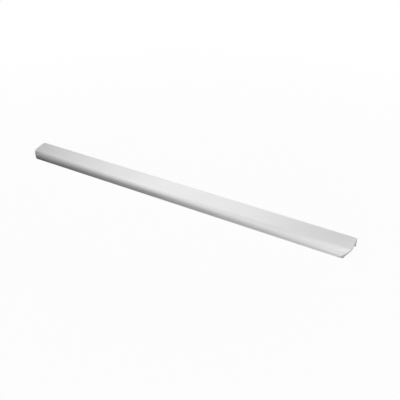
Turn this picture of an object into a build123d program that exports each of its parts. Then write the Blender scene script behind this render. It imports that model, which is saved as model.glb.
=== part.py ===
from build123d import *
from math import atan2, cos, degrees, radians, sin
import os

# Edge pull for a door or drawer front: one cut length of extruded profile.
# A flat plate lies on the front's edge, a flange turns down behind it, and a
# bowed lip turns down before it for the fingers to pull on.
# The section is drawn in its own frame. y runs from the back face forward and
# z from the top of the plate down, both as negative numbers.

# Sizes of the profile, in millimetres and degrees
pull_length = 595.0
wall = 2.0
plate_depth = 24.0
lip_bend_radius = 13.0
lip_bend_angle = 65.0
lip_straight = 2.5
flange_height = 16.0

# Rounding of the lip's two corners, seen from above as the profile lies
lip_corner_radius = 15.5

# Rounding of the profile's long edges
foot_radius = 0.4
back_corner_radius = 0.6
inner_corner_radius = 0.8

# Row of screw holes through the flange
hole_diameter = 4.2
hole_count = 5
hole_spacing = 128.0
hole_below_top = 9.0

# The raw length and its cutters reach this far past the finished size
cutting_spare = 3 * wall


def lip_point(radius, run):
    """Point on the lip, this far from the centre of its bend and this far
    down its straight part, as (y, z)."""
    turn = radians(lip_bend_angle)
    return (
        -plate_depth - radius * sin(turn) - run * cos(turn),
        -lip_bend_radius + radius * cos(turn) - run * sin(turn),
    )


def resting_tilt():
    """Angle in degrees by which the profile leans forward on its two feet.

    Both feet have the same rounding, so the floor that touches them is
    parallel to the line between the centres of their inner roundings.
    """
    lip_y, lip_z = lip_point(lip_bend_radius - wall + foot_radius, lip_straight - foot_radius)
    flange_y = -wall + foot_radius
    flange_z = -flange_height + foot_radius
    return degrees(atan2(lip_z - flange_z, flange_y - lip_y))


def profile_section():
    """The section: one line along its outer side, thickened inwards."""
    with BuildSketch(Plane.YZ.offset(-pull_length / 2 - cutting_spare)) as section:
        with BuildLine():
            flange = Line((0, -flange_height), (0, 0))
            plate = Line(flange @ 1, (-plate_depth, 0))
            bend = JernArc(plate @ 1, (-1, 0), lip_bend_radius, lip_bend_angle)
            lip = PolarLine(bend @ 1, lip_straight, direction=bend % 1)
            offset(amount=wall, side=Side.LEFT, closed=True)
        make_face()
        corners = section.vertices()
        flange_foot = corners.sort_by_distance(flange @ 0)[:2]
        lip_foot = corners.sort_by_distance(lip @ 1)[:2]
        fillet(flange_foot + lip_foot, foot_radius)
        fillet(section.vertices().sort_by_distance((0, 0))[0], back_corner_radius)
        fillet(section.vertices().sort_by_distance((-wall, -wall))[0], inner_corner_radius)
    return section.sketch


def drilled_length():
    """The raw length of profile with its screw holes, in the section's frame."""
    raw = extrude(profile_section(), amount=pull_length + 2 * cutting_spare)
    hole = Cylinder(hole_diameter / 2, 4 * wall, rotation=(90, 0, 0))
    row = GridLocations(hole_spacing, 0, hole_count, 1)
    return raw - Pos(0, 0, -hole_below_top) * row * hole


def set_down(length):
    """Lean the profile on its feet, with the origin on the floor below the
    middle of its length and depth."""
    leaning = length.rotate(Axis.X, resting_tilt())
    box = leaning.bounding_box()
    return Pos(0, -box.center().Y, -box.min.Z) * leaning


def plan_outline(depth):
    """The finished length seen from above: square behind, round at the lip."""
    with BuildSketch(Plane.XY.offset(-cutting_spare)) as outline:
        with Locations((0, -depth / 2)):
            Rectangle(pull_length, depth + cutting_spare, align=(Align.CENTER, Align.MIN))
        front_corners = outline.vertices().group_by(Axis.Y)[0]
        fillet(front_corners, lip_corner_radius)
    return outline.sketch


def cut_to_plan(lying):
    """Cut both ends straight down to the plan outline, as the profile lies."""
    size = lying.bounding_box().size
    return lying & extrude(plan_outline(size.Y), amount=size.Z + 2 * cutting_spare)


pull_profile = cut_to_plan(set_down(drilled_length()))
pull_profile.label = "pull_profile"

os.makedirs("parts", exist_ok=True)
export_step(pull_profile, "parts/pull_profile.step")
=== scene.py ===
import logging
from dataclasses import dataclass, field
from enum import Enum
from typing import Any

import bpy
import numpy as np
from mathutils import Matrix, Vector


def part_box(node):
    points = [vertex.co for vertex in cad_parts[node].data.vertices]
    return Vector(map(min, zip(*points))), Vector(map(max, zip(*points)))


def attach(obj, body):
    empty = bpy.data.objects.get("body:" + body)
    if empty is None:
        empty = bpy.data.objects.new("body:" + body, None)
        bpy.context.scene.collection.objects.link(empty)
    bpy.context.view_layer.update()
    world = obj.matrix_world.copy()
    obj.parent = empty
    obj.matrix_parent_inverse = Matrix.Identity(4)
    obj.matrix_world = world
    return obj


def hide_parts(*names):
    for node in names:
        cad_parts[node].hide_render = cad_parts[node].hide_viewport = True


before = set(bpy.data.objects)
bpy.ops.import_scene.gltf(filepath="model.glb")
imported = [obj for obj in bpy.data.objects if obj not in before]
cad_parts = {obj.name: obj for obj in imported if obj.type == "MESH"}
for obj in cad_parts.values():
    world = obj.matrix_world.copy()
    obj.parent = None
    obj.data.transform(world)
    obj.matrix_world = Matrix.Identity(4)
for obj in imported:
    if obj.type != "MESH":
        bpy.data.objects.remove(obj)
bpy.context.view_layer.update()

# A satin aluminium edge pull, lying on its two feet in a plain pale studio.
# Sizes of the profile are in millimetres and are turned to metres once, when
# its points are put where the CAD has them. The studio's sizes are in metres.

MM = 0.001
QUARTER = 0.5 * np.pi
NODE = "pull_profile"
SLOT = "satin_aluminium"
SURFACE_MAP = "section"
CUT_MARK = "cut"

Colour = tuple[float, float, float, float]
WHITE: Colour = (1.0, 1.0, 1.0, 1.0)

log = logging.getLogger("edge_pull")


# Shader expressions

# A Mix node has sockets of each kind of data; these are the ones for colours.
MIX_FIRST, MIX_SECOND, MIX_RESULT = 6, 7, 2


class Output(Enum):
    """Where a node tree sends its shader."""

    MATERIAL = "ShaderNodeOutputMaterial"
    WORLD = "ShaderNodeOutputWorld"


class Term:
    """A node socket that takes part in plain arithmetic."""

    def __init__(self, graph: "Graph", socket: Any) -> None:
        """Wrap one output socket of the graph."""
        self.graph = graph
        self.socket = socket

    def _maths(self, operation: str, *values: Any) -> "Term":
        """Add one Math node and return its result."""
        return self.graph.node("ShaderNodeMath", {"operation": operation}, values)

    def __add__(self, other: Any) -> "Term":
        """self + other."""
        return self._maths("ADD", self, other)

    def __radd__(self, other: Any) -> "Term":
        """other + self."""
        return self._maths("ADD", other, self)

    def __sub__(self, other: Any) -> "Term":
        """self - other."""
        return self._maths("SUBTRACT", self, other)

    def __rsub__(self, other: Any) -> "Term":
        """other - self."""
        return self._maths("SUBTRACT", other, self)

    def __mul__(self, other: Any) -> "Term":
        """self * other."""
        return self._maths("MULTIPLY", self, other)

    def __rmul__(self, other: Any) -> "Term":
        """other * self."""
        return self._maths("MULTIPLY", other, self)

    def clamp(self) -> "Term":
        """self held between 0 and 1."""
        return self.graph.node("ShaderNodeClamp", {}, [self])


class Graph:
    """The node tree of a material or a world, written from empty."""

    def __init__(self, owner: Any, output: Output = Output.MATERIAL) -> None:
        """Empty the tree and add its output.

        Args:
            owner: the material or world.
            output: the kind of output that the owner needs.
        """
        owner.use_nodes = True
        self.tree = owner.node_tree
        self.tree.nodes.clear()
        self.surface = self.tree.nodes.new(output.value).inputs["Surface"]

    def node(
        self, kind: str, settings: dict[str, Any], inputs: Any, output: Any = 0
    ) -> Term:
        """Add a node of any type.

        Args:
            kind: Blender's name of the node type.
            settings: attributes of the node, set before its sockets are filled.
            inputs: values or Terms, as a list in socket order, or as a dict by
                the sockets' names or indexes.
            output: name or index of the output socket that is returned.

        Returns:
            The chosen output as a Term.
        """
        made = self.tree.nodes.new(kind)
        for name, value in settings.items():
            setattr(made, name, value)
        pairs = inputs.items() if isinstance(inputs, dict) else enumerate(inputs)
        for key, value in pairs:
            if isinstance(value, Term):
                self.tree.links.new(value.socket, made.inputs[key])
            else:
                made.inputs[key].default_value = value
        return Term(self, made.outputs[output])

    def rays(self) -> tuple[Term, Term]:
        """Tell apart the rays that reach a surface.

        Returns:
            Whether a ray comes straight from the camera, and whether metal or
            glass has turned it.
        """
        camera, glossy, transmission = (
            self.node("ShaderNodeLightPath", {}, {}, f"Is {ray} Ray")
            for ray in ("Camera", "Glossy", "Transmission")
        )
        return camera, (glossy + transmission).clamp()

    def ramp(
        self, value: Term, start: float, stop: float, first: float, last: float
    ) -> Term:
        """A value that runs evenly from first at start to last at stop."""
        limits = {"From Min": start, "From Max": stop, "To Min": first, "To Max": last}
        return self.node("ShaderNodeMapRange", {}, {"Value": value} | limits)

    def mix_colours(self, factor: Term, first: Colour, second: Colour) -> Term:
        """Blend from the first colour at 0 to the second at 1."""
        inputs = {"Factor": factor, MIX_FIRST: first, MIX_SECOND: second}
        return self.node("ShaderNodeMix", {"data_type": "RGBA"}, inputs, MIX_RESULT)

    def mix_shaders(self, factor: Any, first: Term | None, second: Term) -> Term:
        """Blend two shaders.

        Args:
            factor: the second one's share, as a Term or a number.
            first: the shader at 0, or None for plain black.
            second: the shader at 1.

        Returns:
            The blend.
        """
        inputs = {0: factor, 2: second}
        if first is not None:
            inputs[1] = first
        return self.node("ShaderNodeMixShader", {}, inputs)

    def finish(self, shader: Term) -> None:
        """Send a shader to the output."""
        self.tree.links.new(shader.socket, self.surface)


# Finishes

@dataclass(frozen=True)
class SatinAluminium:
    """Drawn, satin anodised aluminium with faint lines along its length.

    The lines read the piece's own map: u is the way round the section and v
    the way along the pull, both in metres. The clouds read Object coordinates.
    The attribute "cut" is 1 on the sawn ends and 0 on the drawn faces. The
    swing is how far lines and clouds each move the roughness, the bump is how
    high the lines stand in metres, and line_dark is the colour between them as
    a share of the colour on them.
    """

    colour: Colour = (0.91, 0.91, 0.91, 1.0)
    line_dark: float = 0.91
    roughness: float = 0.489
    roughness_swing: float = 0.12
    line_scale: float = 1900.0
    line_stretch: float = 0.006
    line_detail: float = 4.0
    line_grain: float = 0.6
    line_bump: float = 0.000012
    cloud_scale: float = 28.0
    cloud_detail: float = 3.0
    cloud_grain: float = 0.55
    noise_middle: float = 0.5
    cut_roughness: float = 0.04
    # Darkens the sawn ends' colour a little: painted shade on the end faces.
    cut_painted_shade: float = 0.12

    def make(self) -> bpy.types.Material:
        """Write the material.

        Returns:
            The finished material, named after its slot.
        """
        material = bpy.data.materials.new(SLOT)
        graph = Graph(material)
        lines = self._lines(graph)
        clouds = self._clouds(graph)
        cut = graph.node("ShaderNodeAttribute", {"attribute_name": CUT_MARK}, {}, "Fac")
        roughness = (
            self.roughness
            + (lines - self.noise_middle) * self.roughness_swing
            + (clouds - self.noise_middle) * self.roughness_swing
            + cut * self.cut_roughness
        )
        dark = tuple(c * self.line_dark for c in self.colour[:3]) + self.colour[3:]
        # The drawn lines' grain, and on the sawn ends a painted shade that pulls the
        # colour towards the dark line colour.
        grain_and_end_shade = graph.mix_colours(
            (lines - cut * self.cut_painted_shade).clamp(), dark, self.colour
        )
        relief = {"Strength": 1.0, "Distance": self.line_bump, "Height": lines}
        surface = {
            "Base Color": grain_and_end_shade,
            "Metallic": 1.0,
            "Roughness": roughness.clamp(),
            "Normal": graph.node("ShaderNodeBump", {}, relief),
        }
        graph.finish(graph.node("ShaderNodeBsdfPrincipled", {}, surface))
        return material

    def _lines(self, graph: Graph) -> Term:
        """Noise drawn out along the pull, as the die leaves it.

        Args:
            graph: the material's graph.

        Returns:
            A value between 0 and 1 that changes mostly across the section.
        """
        scale = (self.line_scale, self.line_scale * self.line_stretch, 1.0)
        surface = graph.node("ShaderNodeUVMap", {"uv_map": SURFACE_MAP}, {})
        inputs = {
            "Vector": graph.node(
                "ShaderNodeMapping", {}, {"Vector": surface, "Scale": scale}
            ),
            "Scale": 1.0,
            "Detail": self.line_detail,
            "Roughness": self.line_grain,
        }
        return graph.node("ShaderNodeTexNoise", {"noise_dimensions": "2D"}, inputs)

    def _clouds(self, graph: Graph) -> Term:
        """Soft, slow noise in the metal's sheen.

        Args:
            graph: the material's graph.

        Returns:
            A value between 0 and 1.
        """
        inputs = {
            "Vector": graph.node("ShaderNodeTexCoord", {}, {}, "Object"),
            "Scale": self.cloud_scale,
            "Detail": self.cloud_detail,
            "Roughness": self.cloud_grain,
        }
        return graph.node("ShaderNodeTexNoise", {"noise_dimensions": "3D"}, inputs)


@dataclass(frozen=True)
class PaleFloor:
    """A white studio floor that keeps a soft shadow.

    The camera sees plain white with a share of the lit, matt floor, which
    carries the shadow. That share fades out between two distances from the
    pull. Metal and glass see the same white, which falls away between two
    places along the pull, from a set share at the right to nothing at the
    left: a painted shade in the metal's reflections, which stands in for
    dark surroundings and makes the pull darker towards its left end.
    """

    colour: Colour = (0.93, 0.93, 0.93, 1.0)
    roughness: float = 0.9
    shadow_share: float = 0.08
    shadow_from: float = 0.25
    shadow_to: float = 0.9
    # Where the painted shade in the metal's reflections starts and ends along the pull,
    # and the share of white reflected at the right.
    dark_from: float = -0.3
    bright_to: float = 0.251
    painted_reflection_share: float = 0.451

    def make(self) -> bpy.types.Material:
        """Write the material.

        Returns:
            The finished material.
        """
        material = bpy.data.materials.new("studio_floor")
        graph = Graph(material)
        paint = {"Color": self.colour, "Roughness": self.roughness}
        matt = graph.node("ShaderNodeBsdfDiffuse", {}, paint)
        glow = {"Color": WHITE, "Strength": 1.0}
        white = graph.node("ShaderNodeEmission", {}, glow)
        place = graph.node("ShaderNodeTexCoord", {}, {}, "Object")
        along = graph.node("ShaderNodeSeparateXYZ", {}, [place], "X")
        length = {"operation": "LENGTH"}
        away = graph.node("ShaderNodeVectorMath", length, [place], "Value")
        camera, turned = graph.rays()
        shadow = graph.ramp(
            away, self.shadow_from, self.shadow_to, self.shadow_share, 0.0
        )
        seen = graph.mix_shaders(shadow, white, matt)
        # Painted shade in reflections: the white that metal and glass see is graded
        # along the pull, darker to the left.
        share = graph.ramp(
            along, self.dark_from, self.bright_to, 0.0, self.painted_reflection_share
        )
        mirrored = graph.mix_shaders(share, None, white)
        hidden = graph.mix_shaders(turned, matt, mirrored)
        graph.finish(graph.mix_shaders(camera, hidden, seen))
        return material


# The pull

# A point of the section: y and z.
Point = tuple[float, float] | np.ndarray


class Side(Enum):
    """The two faces of the wall, by the sign of y out of them on the flange."""

    OUTER = 1
    INNER = -1


class End(Enum):
    """The two cut ends, by the sign of their place along the pull."""

    LEFT = -1
    RIGHT = 1


def turn(angle: float, steps: int) -> np.ndarray:
    """Even angles from 0 to this one, both included."""
    return np.linspace(0.0, angle, steps + 1)


def cells(points: slice) -> slice:
    """The cells of a grid between these rows or columns of its points."""
    return slice(points.start, points.stop - 1)


def lengthways(section: np.ndarray, x: np.ndarray | float) -> np.ndarray:
    """Join places along the pull to section points or normals.

    Args:
        section: (..., 2) values across the pull.
        x: values along the pull, of a shape that broadcasts with section's.

    Returns:
        The joined values (..., 3).
    """
    shape = np.broadcast_shapes(np.shape(x), section.shape[:-1])
    along = np.broadcast_to(x, shape)[..., None]
    return np.concatenate([along, np.broadcast_to(section, shape + (2,))], -1)


@dataclass(frozen=True)
class HoleRow:
    """The row of plain screw holes through the flange.

    On both faces each hole has a square patch of the surface to itself. It
    reaches patch_half from the hole's axis and has patch_cells quads a side at
    its border. The hole's rim is rounded to the radius rim. There are
    flat_steps rings of quads round the hole and rim_steps over its rim.
    """

    radius: float = 2.1
    rim: float = 0.12
    count: int = 5
    spacing: float = 128.0
    below_top: float = 9.0
    patch_half: float = 4.0
    patch_cells: int = 8
    flat_steps: int = 4
    rim_steps: int = 3

    def centres(self) -> np.ndarray:
        """Places of the holes along the pull, even about its middle."""
        return (np.arange(self.count) - 0.5 * (self.count - 1)) * self.spacing


@dataclass
class WallRows:
    """Pairs of points across the wall, one on each face, in order."""

    points: list[np.ndarray] = field(default_factory=list)
    normals: list[np.ndarray] = field(default_factory=list)

    @property
    def last(self) -> np.ndarray:
        """The last pair of points, (2, 2)."""
        return self.points[-1][:, -1]

    @property
    def count(self) -> int:
        """The number of pairs so far."""
        return sum(stretch.shape[1] for stretch in self.points)

    def curve(
        self,
        outer: np.ndarray,
        inner: np.ndarray,
        outer_normal: np.ndarray,
        inner_normal: np.ndarray,
    ) -> None:
        """Add a stretch of pairs.

        Args:
            outer: (n, 2) points on the outer face.
            inner: (n, 2) points on the inner face.
            outer_normal: (n, 2) unit normals, or one for all.
            inner_normal: (n, 2) unit normals, or one for all.
        """
        both = [
            np.broadcast_to(normal, outer.shape)
            for normal in (outer_normal, inner_normal)
        ]
        self.points.append(np.stack([outer, inner]))
        self.normals.append(np.stack(both))

    def run(
        self, outer: Point, inner: Point, normal: np.ndarray, steps: int
    ) -> None:
        """Add even straight steps from the last pair to a new one.

        With s the share of the way, a pair is (1 - s) last + s new.

        Args:
            outer: the new pair's point on the outer face.
            inner: its point on the inner face.
            normal: the outer face's unit normal; the inner face's is opposite.
            steps: the number of steps.
        """
        share = np.linspace(0.0, 1.0, steps + 1)[1:, None]
        new = np.array([outer, inner])[:, None]
        pairs = (1.0 - share) * self.last[:, None] + share * new
        self.curve(pairs[0], pairs[1], normal, -normal)

    def joined(self) -> tuple[np.ndarray, np.ndarray]:
        """All points and all normals, (2, n, 2) each."""
        return np.concatenate(self.points, 1), np.concatenate(self.normals, 1)


@dataclass(frozen=True)
class Section:
    """The profile's section, laid out as pairs of points across its wall.

    y runs forward from the back face and z down from the top of the plate,
    both as negative numbers. Each count of steps is the quads of its stretch.
    """

    wall: float = 2.0
    plate_depth: float = 24.0
    bend_radius: float = 13.0
    bend_angle: float = np.radians(65.0)
    straight: float = 2.5
    flange_height: float = 16.0
    foot_radius: float = 0.4
    back_radius: float = 0.6
    inner_radius: float = 0.8
    foot_steps: int = 4
    flange_low_steps: int = 4
    flange_high_steps: int = 5
    corner_steps: int = 7
    plate_steps: int = 13
    bend_steps: int = 32
    lip_steps: int = 6

    @property
    def bend_centre(self) -> np.ndarray:
        """Centre of the bend between the plate and the lip."""
        return np.array([-self.plate_depth, -self.bend_radius])

    @property
    def lip_out(self) -> np.ndarray:
        """Direction straight out of the lip's outer face."""
        return np.array([-np.sin(self.bend_angle), np.cos(self.bend_angle)])

    @property
    def lip_down(self) -> np.ndarray:
        """Direction down the lip's straight part."""
        return np.array([-np.cos(self.bend_angle), -np.sin(self.bend_angle)])

    def lip_point(self, radius: float, run: float) -> np.ndarray:
        """Point on the lip, this far from the bend's centre and down its run."""
        return self.bend_centre + radius * self.lip_out + run * self.lip_down

    @property
    def tilt(self) -> float:
        """Lean of the profile on its two feet.

        Returns:
            The slope of the line between the centres of the inner roundings of
            both feet, in radians.
        """
        f = self.foot_radius
        lip = self.lip_point(self.bend_radius - self.wall + f, self.straight - f)
        flange = np.array([f - self.wall, f - self.flange_height])
        return float(np.arctan2(lip[1] - flange[1], flange[0] - lip[0]))

    def leaning_depth(self, points: np.ndarray) -> np.ndarray:
        """How far back points lie at a lean of t: y cos t - z sin t."""
        return points @ np.array([np.cos(self.tilt), -np.sin(self.tilt)])

    def rows(self, hole: HoleRow) -> tuple[WallRows, slice]:
        """Lay out the wall from the flange's foot to the lip's foot.

        Args:
            hole: the row of holes, whose patches need rows of their own.

        Returns:
            The pairs of points, and which of them span the holes' patches.
        """
        rows = WallRows()
        patch = self._flange(rows, hole)
        self._corner_and_plate(rows)
        self._bend_and_lip(rows)
        return rows, patch

    def _flange(self, rows: WallRows, hole: HoleRow) -> slice:
        """Add the flange's foot and its straight faces.

        The foot's two roundings are quarter circles of radius f. At an angle a
        the level is that of their centres less f cos a, and each face stands
        f - f sin a in.

        Args:
            rows: where the pairs go.
            hole: the row of holes.

        Returns:
            Which of the pairs span the holes' patches.
        """
        w, f = self.wall, self.foot_radius
        a = turn(QUARTER, self.foot_steps)
        level = f - self.flange_height - f * np.cos(a)
        rows.curve(
            np.stack([f * np.sin(a) - f, level], -1),
            np.stack([f - w - f * np.sin(a), level], -1),
            np.stack([np.sin(a), -np.cos(a)], -1),
            np.stack([-np.sin(a), -np.cos(a)], -1),
        )
        back = np.array([1.0, 0.0])
        low = -hole.below_top - hole.patch_half
        high = -hole.below_top + hole.patch_half
        outer_top, inner_top = -self.back_radius, -w - self.inner_radius
        rows.run((0.0, low), (-w, low), back, self.flange_low_steps)
        first = rows.count - 1
        rows.run((0.0, high), (-w, high), back, hole.patch_cells)
        stop = rows.count
        rows.run((0.0, outer_top), (-w, inner_top), back, self.flange_high_steps)
        return slice(first, stop)

    def _corner_and_plate(self, rows: WallRows) -> None:
        """Add the corner at the back and the flat plate.

        The corner's two roundings share their angle: at an angle a, a point is
        its own centre plus its own radius times (cos a, sin a).

        Args:
            rows: where the pairs go.
        """
        w, b, c = self.wall, self.back_radius, self.inner_radius
        a = turn(QUARTER, self.corner_steps)[1:]
        ray = np.stack([np.cos(a), np.sin(a)], -1)
        rows.curve(b * ray - b, c * ray - w - c, ray, -ray)
        up = np.array([0.0, 1.0])
        front = -self.plate_depth
        rows.run((front, 0.0), (front, -w), up, self.plate_steps)

    def _bend_and_lip(self, rows: WallRows) -> None:
        """Add the bend, the lip's straight part and its foot.

        At an angle a in the bend, a point is the centre plus its face's radius
        times (-sin a, cos a). In the foot, with f its radius, a point has gone
        f sin a on down the lip and f (1 - cos a) in from its face.

        Args:
            rows: where the pairs go.
        """
        w, f = self.wall, self.foot_radius
        a = turn(self.bend_angle, self.bend_steps)[1:]
        ray = np.stack([-np.sin(a), np.cos(a)], -1)
        outer = self.bend_centre + self.bend_radius * ray
        rows.curve(outer, outer - w * ray, ray, -ray)

        out, down = self.lip_out, self.lip_down
        end = self.lip_point(self.bend_radius, self.straight - f)
        rows.run(end, end - w * out, out, self.lip_steps)

        a = turn(QUARTER, self.foot_steps)[1:, None]
        inset = f * (1.0 - np.cos(a)) * out
        outer, inner = rows.last[:, None] + f * np.sin(a) * down
        rows.curve(
            outer - inset,
            inner + inset,
            np.cos(a) * out + np.sin(a) * down,
            -np.cos(a) * out + np.sin(a) * down,
        )


@dataclass(frozen=True)
class Loop:
    """The closed line round the section.

    It follows the outer face from the flange's foot to the lip's, crosses the
    lip's foot, follows the inner face back and crosses the flange's foot.
    """

    points: np.ndarray
    normals: np.ndarray
    rows: int
    across: int

    @classmethod
    def round_wall(cls, rows: WallRows, down: np.ndarray, across: int) -> "Loop":
        """Close the pairs of points into one loop.

        Each foot is crossed in even steps: (1 - s) first + s last.

        Args:
            rows: the pairs of points across the wall.
            down: direction that the lip's foot faces.
            across: the steps across a foot.

        Returns:
            The loop.
        """
        points, normals = rows.joined()
        share = np.linspace(0.0, 1.0, across + 1)[1:-1, None]
        lip = points[0, -1] + share * (points[1, -1] - points[0, -1])
        flange = points[1, 0] + share * (points[0, 0] - points[1, 0])
        lip_normal = np.broadcast_to(down, lip.shape)
        flange_normal = np.broadcast_to((0.0, -1.0), flange.shape)
        return cls(
            np.concatenate([points[0], lip, points[1, ::-1], flange]),
            np.concatenate([normals[0], lip_normal, normals[1, ::-1], flange_normal]),
            rows.count,
            across,
        )

    @property
    def outer(self) -> slice:
        """The outer face's part of the loop."""
        return slice(0, self.rows)

    @property
    def lip_foot(self) -> slice:
        """The steps across the lip's foot."""
        return slice(self.outer.stop, self.inner.start)

    @property
    def inner(self) -> slice:
        """The inner face's part of the loop, from the lip's foot back."""
        start = self.rows + self.across - 1
        return slice(start, start + self.rows)

    @property
    def flange_foot(self) -> slice:
        """The steps across the flange's foot."""
        return slice(self.inner.stop, len(self.points))

    def part(self, side: Side, rows: slice) -> slice:
        """Find rows of the wall in the loop.

        Args:
            side: the face of the wall.
            rows: the rows, counted from the flange's foot.

        Returns:
            Their part of the loop, which runs the other way on the inner face.
        """
        if side is Side.OUTER:
            return rows
        return slice(self.inner.stop - rows.stop, self.inner.stop - rows.start)


@dataclass
class SurfaceSink:
    """Collects grids of points and their quads into one closed mesh."""

    points: list[np.ndarray] = field(default_factory=list)
    normals: list[np.ndarray] = field(default_factory=list)
    maps: list[np.ndarray] = field(default_factory=list)
    cut: list[np.ndarray] = field(default_factory=list)
    faces: list[np.ndarray] = field(default_factory=list)
    total: int = 0

    def add(
        self, points: np.ndarray, normals: np.ndarray, uv: np.ndarray, cut: float
    ) -> np.ndarray:
        """Add a grid of points.

        Args:
            points: (..., 3) places.
            normals: (..., 3) unit normals.
            uv: (..., 2) the piece's own map.
            cut: 1 on a sawn face, 0 on a drawn one.

        Returns:
            The points' indices, in the shape of the grid.
        """
        count = int(np.prod(points.shape[:-1]))
        index = np.arange(self.total, self.total + count).reshape(points.shape[:-1])
        self.points.append(points.reshape(-1, 3))
        self.normals.append(normals.reshape(-1, 3))
        self.maps.append(uv.reshape(-1, 2))
        self.cut.append(np.full(count, cut))
        self.total += count
        return index

    def quads(self, index: np.ndarray, keep: np.ndarray | None = None) -> None:
        """Add a quad for each cell of a grid of indices.

        Args:
            index: (m, n) indices. Seen from outside, the second axis turns
                left of the first.
            keep: (m-1, n-1) mask of the cells that are filled, or None for all.
        """
        corners = [index[:-1, :-1], index[:-1, 1:], index[1:, 1:], index[1:, :-1]]
        quads = np.stack(corners, -1)
        self.faces.append(quads[keep] if keep is not None else quads.reshape(-1, 4))


@dataclass(frozen=True)
class EdgePull:
    """The one-piece aluminium profile, drawn fine and smooth over the CAD node.

    The edges of both cut ends are broken by end_break in break_rows steps. The
    break's reach along the pull is worked out with at least least_slant of the
    cut's normal that way. across is the steps across the wall, and station_step
    about how far the points stand from each other along the pull.
    """

    section: Section
    holes: HoleRow
    length: float = 595.0
    corner_radius: float = 15.5
    end_break: float = 0.15
    break_rows: int = 4
    least_slant: float = 0.02
    across: int = 6
    station_step: float = 9.0
    fewest_steps: int = 2

    @property
    def front(self) -> float:
        """How far back the lip's furthest point forward lies.

        Returns:
            The leaning depth of the foremost point of the lip's foot, which is
            on its outer rounding.
        """
        section, f = self.section, self.section.foot_radius
        centre = section.lip_point(section.bend_radius - f, section.straight - f)
        return float(section.leaning_depth(centre)) - f

    def lack(self, points: np.ndarray) -> np.ndarray:
        """How far section points lie forward of the corner's centre in plan."""
        r, depth = self.corner_radius, self.section.leaning_depth(points)
        return np.clip(r - (depth - self.front), 0.0, r)

    def inset(self, points: np.ndarray) -> np.ndarray:
        """How far the cut stands in from the full half length.

        The cut goes straight down through the leaning profile, and its front
        corner is a circle in plan. With k the distance forward of the circle's
        centre, the inset is r - sqrt(r^2 - k^2).

        Args:
            points: (..., 2) section points.

        Returns:
            The inset at each of them.
        """
        r = self.corner_radius
        return r - np.sqrt(r * r - self.lack(points) ** 2)

    def cut_normal(self, points: np.ndarray) -> np.ndarray:
        """Outward normal of the cut at the right end, in the section's frame.

        With k the distance forward of the circle's centre in radii, it is
        (sqrt(1 - k^2), -k, 0) in plan, leaned back by the tilt.

        Args:
            points: (..., 2) section points.

        Returns:
            The unit normals (..., 3).
        """
        k = self.lack(points) / self.corner_radius
        t = self.section.tilt
        return np.stack([np.sqrt(1.0 - k * k), -k * np.cos(t), k * np.sin(t)], -1)

    def setback(
        self, points: np.ndarray, normals: np.ndarray
    ) -> tuple[np.ndarray, np.ndarray]:
        """How far the break of a cut edge starts from the edge on both its faces.

        Both starts are the same distance e from the edge. With s the sine of
        the angle between the faces, that is e s deep in the wall, and e s over
        the lengthways part of the cut's normal along the pull.

        Args:
            points: (..., 2) section points on the edge.
            normals: (..., 2) unit normals of the drawn face there.

        Returns:
            The distance along the pull, and the depth in the wall.
        """
        cut = self.cut_normal(points)
        sine = np.linalg.norm(np.cross(lengthways(normals, 0.0), cut), axis=-1)
        deep = self.end_break * sine
        return deep / np.maximum(cut[..., 0], self.least_slant), deep

    def stations(self) -> tuple[np.ndarray, list[slice]]:
        """Lay out even stations between the holes' patches, and across each.

        Returns:
            The stations, as shares of the half length inside the breaks, and
            which of them span each hole's patch.
        """
        half = 0.5 * self.length - self.end_break
        reach, count = self.holes.patch_half, self.holes.patch_cells
        places = [-half]
        spans = []
        for centre in self.holes.centres():
            places.extend(self._steps_to(places[-1], centre - reach))
            first = len(places) - 1
            places.extend(np.linspace(centre - reach, centre + reach, count + 1)[1:])
            spans.append(slice(first, len(places)))
        places.extend(self._steps_to(places[-1], half))
        return np.array(places) / half, spans

    def _steps_to(self, start: float, stop: float) -> np.ndarray:
        """Even places from start, left out, to stop, about a step apart."""
        steps = max(self.fewest_steps, round((stop - start) / self.station_step))
        return np.linspace(start, stop, steps + 1)[1:]

    def build(self) -> bpy.types.Object:
        """Build the whole closed surface and put it where the CAD node is.

        Returns:
            The finished piece, at the origin and unturned.
        """
        rows, patch = self.section.rows(self.holes)
        loop = Loop.round_wall(rows, self.section.lip_down, self.across)
        stations, spans = self.stations()
        sink = SurfaceSink()
        skin = self._drawn_faces(sink, loop, stations)
        keep = np.ones((skin.shape[0] - 1, skin.shape[1]), bool)
        blocks = []
        for span in spans:
            along = slice(span.start + self.break_rows, span.stop + self.break_rows)
            parts = {side: loop.part(side, patch) for side in Side}
            for part in parts.values():
                keep[cells(along), cells(part)] = False
            blocks.append({side: skin[along, part] for side, part in parts.items()})
        sink.quads(np.concatenate([skin, skin[:, :1]], 1), keep)
        for block, centre in zip(blocks, self.holes.centres()):
            self._hole(sink, block, centre)
        for end in End:
            self._cut_end(sink, skin, loop, rows, end)
        return self._object(sink)

    def _drawn_faces(
        self, sink: SurfaceSink, loop: Loop, stations: np.ndarray
    ) -> np.ndarray:
        """Carry the loop along the pull, and round it over at both ends.

        At a share s of the length a point stands at s times its own half
        length, less the start of its break. The map's u is the way round the
        loop and its v the way along the pull.

        Args:
            sink: where the surface goes.
            loop: the line round the section.
            stations: shares of the half length.

        Returns:
            Indices (rows along the pull, points of the loop).
        """
        back = self.setback(loop.points, loop.normals)[0]
        reach = 0.5 * self.length - self.inset(loop.points) - back
        middle = lengthways(loop.points, stations[:, None] * reach)
        middle_n = np.broadcast_to(lengthways(loop.normals, 0.0), middle.shape)
        right, right_n = self._end_break(loop)
        mirror = np.array([-1.0, 1.0, 1.0])
        points = np.concatenate([(right * mirror)[::-1], middle, right])
        normals = np.concatenate([(right_n * mirror)[::-1], middle_n, right_n])
        closed = np.diff(loop.points, axis=0, append=loop.points[:1])
        step = np.linalg.norm(closed, axis=1)
        way = np.concatenate([[0.0], np.cumsum(step)[:-1]])
        uv = np.stack([np.broadcast_to(way, points.shape[:2]), points[..., 0]], -1)
        return sink.add(points, normals, uv, 0.0)

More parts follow.
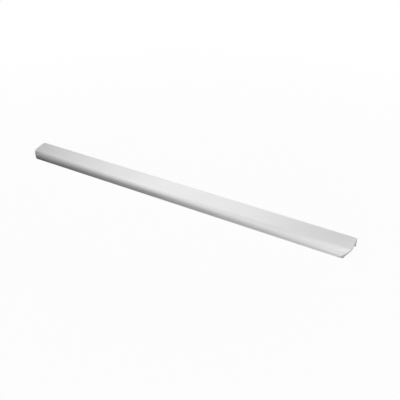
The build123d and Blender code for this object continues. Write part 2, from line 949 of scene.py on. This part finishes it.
    def _end_break(self, loop: Loop) -> tuple[np.ndarray, np.ndarray]:
        """Round over the edge between the drawn faces and the right-hand cut.

        The break runs from the face, past the sharp edge, to the cut:
        (1 - t)^2 first + 2 t (1 - t) edge + t^2 last. Its normal is (1 - t) of
        the face's and t of the cut's, made a unit long again.

        Args:
            loop: the line round the section.

        Returns:
            Points and normals, (rows, points of the loop, 3) each.
        """
        half = 0.5 * self.length
        back, deep = self.setback(loop.points, loop.normals)
        edge_x = half - self.inset(loop.points)
        sunk = loop.points - loop.normals * deep[:, None]
        first = lengthways(loop.points, edge_x - back)
        edge = lengthways(loop.points, edge_x)
        last = lengthways(sunk, half - self.inset(sunk))
        t = np.linspace(0.0, 1.0, self.break_rows + 1)[1:, None, None]
        points = (1.0 - t) ** 2 * first + 2.0 * t * (1.0 - t) * edge + t * t * last
        face = lengthways(loop.normals, 0.0)
        normals = (1.0 - t) * face + t * self.cut_normal(loop.points)
        return points, normals / np.linalg.norm(normals, axis=-1, keepdims=True)

    def _hole(
        self, sink: SurfaceSink, blocks: dict[Side, np.ndarray], centre: float
    ) -> None:
        """Fill a hole's patches on both faces and join their rims by its wall.

        Args:
            sink: where the surface goes.
            blocks: indices of the points that span the patch, for each face.
            centre: the hole's place along the pull.
        """
        outer, inner = (
            self._patch(sink, blocks[side], side, centre) for side in Side
        )
        sink.quads(np.stack([inner, outer]))

    def _patch(
        self, sink: SurfaceSink, block: np.ndarray, side: Side, centre: float
    ) -> np.ndarray:
        """Fill a hole's square patch on one face and roll its rim in.

        Each point of the patch's border has a ray to the hole's axis. At a
        share s of the way in and an angle a over the rim, a point stands at
        (1 - s) ray + s (radius + rim (1 - sin a)) unit ray from the axis, and
        rim (1 - cos a) deep in the wall. First s grows to 1, then a to a
        quarter turn. The map goes on evenly from the border's.

        Args:
            sink: where the surface goes.
            block: indices of the points that span the patch.
            side: the face of the wall.
            centre: the hole's place along the pull.

        Returns:
            Indices of the closed ring where the rim meets the hole's wall.
        """
        hole = self.holes
        if side is Side.INNER:
            block = block[:, ::-1]
        border = np.concatenate(
            [block[:-1, 0], block[-1, :-1], block[:0:-1, -1], block[0, :0:-1]]
        )
        edge = np.concatenate(sink.points)[border]
        way = np.concatenate(sink.maps)[border, 0]
        axis = np.array([centre, -hole.below_top])
        ray = edge[:, [0, 2]] - axis
        unit = ray / np.linalg.norm(ray, axis=1, keepdims=True)

        inwards = np.linspace(0.0, 1.0, hole.flat_steps + 1)[1:]
        over = turn(QUARTER, hole.rim_steps)[1:]
        s = np.append(inwards, np.ones_like(over))[:, None, None]
        a = np.append(np.zeros_like(inwards), over)[:, None, None]
        reach = hole.radius + hole.rim * (1.0 - np.sin(a))
        place = axis + (1.0 - s) * ray + s * reach * unit
        deep = hole.rim * (1.0 - np.cos(a[..., 0]))
        y = np.broadcast_to(edge[0, 1] - side.value * deep, place.shape[:-1])
        points = np.stack([place[..., 0], y, place[..., 1]], -1)
        outward = np.array([0.0, side.value, 0.0])
        to_axis = np.insert(-unit, 1, 0.0, axis=1)
        normals = np.cos(a) * outward + np.sin(a) * to_axis

        rise = (way[-1] - way[0]) / (edge[-1, 2] - edge[0, 2])
        u = way[0] + rise * (points[..., 2] - edge[0, 2])
        made = sink.add(points, normals, np.stack([u, points[..., 0]], -1), 0.0)
        rings = np.concatenate([border[None], made])
        rings = np.concatenate([rings, rings[:, :1]], 1)
        sink.quads(rings[:, ::-1] if side is Side.OUTER else rings)
        return rings[-1]

    def _cut_end(
        self,
        sink: SurfaceSink,
        skin: np.ndarray,
        loop: Loop,
        rows: WallRows,
        end: End,
    ) -> None:
        """Close one cut end between the outer and the inner face.

        Inside the break, a point is blended across the wall, (1 - s) outer +
        s inner, and stands on the cut at its own depth, so the end bends with
        the rounded corner.

        Args:
            sink: where the surface goes.
            skin: indices of the drawn faces.
            loop: the line round the section.
            rows: the pairs of points across the wall.
            end: which end it is.
        """
        points, normals = rows.joined()
        edge = points - self.setback(points, normals)[1][..., None] * normals
        share = np.linspace(0.0, 1.0, self.across + 1)[1:-1, None, None]
        middle = ((1.0 - share) * edge[0] + share * edge[1])[:, 1:-1]
        place = end.value * (0.5 * self.length - self.inset(middle))
        facing = self.cut_normal(middle) * np.array([end.value, 1.0, 1.0])
        made = sink.add(lengthways(middle, place), facing, middle, 1.0)
        rim = skin[-1] if end is End.RIGHT else skin[0]
        flange_foot = rim[loop.flange_foot][::-1, None]
        lip_foot = rim[loop.lip_foot][:, None]
        inside = np.concatenate([flange_foot, made, lip_foot], 1)
        whole = np.concatenate(
            [rim[loop.outer][None], inside, rim[loop.inner][::-1][None]]
        )
        sink.quads(whole if end is End.RIGHT else whole[:, ::-1])

    def _object(self, sink: SurfaceSink) -> bpy.types.Object:
        """Turn the collected surface into an object, leaning as the CAD node does.

        A lean of t takes y to y cos t - z sin t and z to y sin t + z cos t.

        Args:
            sink: the finished surface, in the section's own frame.

        Returns:
            The object, with its place in its mesh.
        """
        c, s = np.cos(self.section.tilt), np.sin(self.section.tilt)
        lean = np.array([[1.0, 0.0, 0.0], [0.0, c, -s], [0.0, s, c]])
        placed = np.concatenate(sink.points) @ lean.T * MM
        normals = np.concatenate(sink.normals) @ lean.T
        low, high = (np.array(corner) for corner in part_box(NODE))
        y = placed[:, 1]
        placed[:, 1] += 0.5 * (low[1] + high[1] - y.min() - y.max())
        placed[:, 2] += low[2] - placed[:, 2].min()
        used, faces = np.unique(np.concatenate(sink.faces), return_inverse=True)
        faces = faces.reshape(-1, 4)

        mesh = bpy.data.meshes.new("pull")
        mesh.from_pydata(placed[used].tolist(), [], faces.tolist())
        mesh.polygons.foreach_set("use_smooth", np.ones(len(faces), bool))
        corners = np.empty(len(mesh.loops), np.int32)
        mesh.loops.foreach_get("vertex_index", corners)
        maps = np.concatenate(sink.maps)[used] * MM
        uv = mesh.uv_layers.new(name=SURFACE_MAP)
        uv.data.foreach_set("uv", maps[corners].ravel())
        mark = mesh.attributes.new(CUT_MARK, "FLOAT", "POINT")
        cut = np.concatenate(sink.cut)[used]
        mark.data.foreach_set("value", cut.astype(np.float32))
        mesh.normals_split_custom_set_from_vertices(normals[used].tolist())
        mesh.update()
        piece = bpy.data.objects.new("aluminium_pull", mesh)
        bpy.context.scene.collection.objects.link(piece)
        return piece

    def dress(self, piece: bpy.types.Object, finish: SatinAluminium) -> None:
        """Give the piece its finish and its place in the frame.

        Args:
            piece: the built pull.
            finish: the metal's finish.
        """
        piece.data.materials.append(finish.make())
        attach(piece, "root")
        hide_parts(NODE)


# The studio

@dataclass(frozen=True)
class Softbox:
    """A rectangular lamp that faces the middle of the pull.

    Azimuth and elevation are in degrees, seen from there; azimuth is 0 in front
    of the pull and 90 at its right. Sizes are in metres and power in watts.
    """

    name: str
    azimuth: float
    elevation: float
    distance: float
    width: float
    height: float
    power: float

    def build(self) -> None:
        """Put the lamp in the scene, out of the camera's sight."""
        light = bpy.data.lights.new(self.name, "AREA")
        light.shape = "RECTANGLE"
        light.size = self.width
        light.size_y = self.height
        light.energy = self.power
        lamp = bpy.data.objects.new(self.name, light)
        a, e = np.radians(self.azimuth), np.radians(self.elevation)
        away = Vector((np.sin(a) * np.cos(e), -np.cos(a) * np.cos(e), np.sin(e)))
        lamp.location = away * self.distance
        lamp.rotation_euler = (-away).to_track_quat("-Z", "Y").to_euler()
        lamp.visible_camera = False
        bpy.context.scene.collection.objects.link(lamp)


@dataclass(frozen=True)
class Camera:
    """The photograph's camera: level, and aimed by its two angles.

    The place and the nearest distance drawn are in metres, the sensor in
    millimetres and the focal length in pixels of the frame.
    """

    place: tuple[float, float, float] = (0.377026, -0.567163, 0.440859)
    azimuth: float = np.radians(29.766)
    elevation: float = np.radians(33.461)
    focal_pixels: float = 492.249
    frame_pixels: float = 400.0
    sensor: float = 36.0
    nearest: float = 0.01

    def build(self) -> None:
        """Put the camera in the scene and make it the scene's camera."""
        data = bpy.data.cameras.new("camera")
        data.sensor_width = self.sensor
        data.lens = self.focal_pixels / self.frame_pixels * self.sensor
        data.clip_start = self.nearest
        camera = bpy.data.objects.new("camera", data)
        camera.location = self.place
        camera.rotation_euler = (QUARTER - self.elevation, 0.0, self.azimuth)
        bpy.context.scene.collection.objects.link(camera)
        bpy.context.scene.camera = camera


@dataclass(frozen=True)
class Studio:
    """Floor, world and lamps.

    world_light is the strength of the even light all round, and world_mirrored
    the share of plain white that metal and glass see in it.
    """

    softboxes: tuple[Softbox, ...]
    floor_half: float = 4.0
    world_light: float = 0.114
    world_mirrored: float = 0.05

    def build(self) -> None:
        """Make the floor, set the world and put up the lamps."""
        bpy.context.scene.view_settings.view_transform = "Standard"
        self._floor()
        bpy.context.scene.world = self._world()
        for softbox in self.softboxes:
            softbox.build()

    def _floor(self) -> None:
        """Lay a square floor under the pull."""
        h = self.floor_half
        corners = [(-h, -h, 0), (h, -h, 0), (h, h, 0), (-h, h, 0)]
        mesh = bpy.data.meshes.new("floor")
        mesh.from_pydata(corners, [], [(0, 1, 2, 3)])
        mesh.materials.append(PaleFloor().make())
        floor = bpy.data.objects.new("floor", mesh)
        bpy.context.scene.collection.objects.link(floor)

    def _world(self) -> bpy.types.World:
        """Make an even light all round, which the camera sees as white.

        Returns:
            The world.
        """
        world = bpy.data.worlds.new("studio")
        graph = Graph(world, Output.WORLD)
        light, white = (
            graph.node(
                "ShaderNodeBackground", {}, {"Color": WHITE, "Strength": strength}
            )
            for strength in (self.world_light, 1.0)
        )
        camera, turned = graph.rays()
        mirrored = graph.mix_shaders(self.world_mirrored, light, white)
        hidden = graph.mix_shaders(turned, light, mirrored)
        graph.finish(graph.mix_shaders(camera, hidden, white))
        return world


def main() -> None:
    """Build the pull, dress it, and set the studio and the camera round it."""
    logging.basicConfig(level=logging.INFO, format="%(name)s: %(message)s")
    pull = EdgePull(Section(), HoleRow())
    piece = pull.build()
    pull.dress(piece, SatinAluminium())
    log.info("%s: %d faces", piece.name, len(piece.data.polygons))
    softboxes = (
        Softbox(
            "behind_left",
            azimuth=225.9,
            elevation=55.0,
            distance=0.75,
            width=0.844,
            height=0.614,
            power=1.74,
        ),
        Softbox(
            "above_front",
            azimuth=332.0,
            elevation=56.3,
            distance=0.86,
            width=0.942,
            height=0.597,
            power=1.434,
        ),
        Softbox(
            "low_front",
            azimuth=11.9,
            elevation=17.7,
            distance=2.1,
            width=0.923,
            height=1.329,
            power=8.548,
        ),
        Softbox(
            "above_right",
            azimuth=91.2,
            elevation=60.3,
            distance=1.09,
            width=1.364,
            height=0.676,
            power=5.147,
        ),
    )
    Studio(softboxes).build()
    Camera().build()


if __name__ == "__main__":
    main()
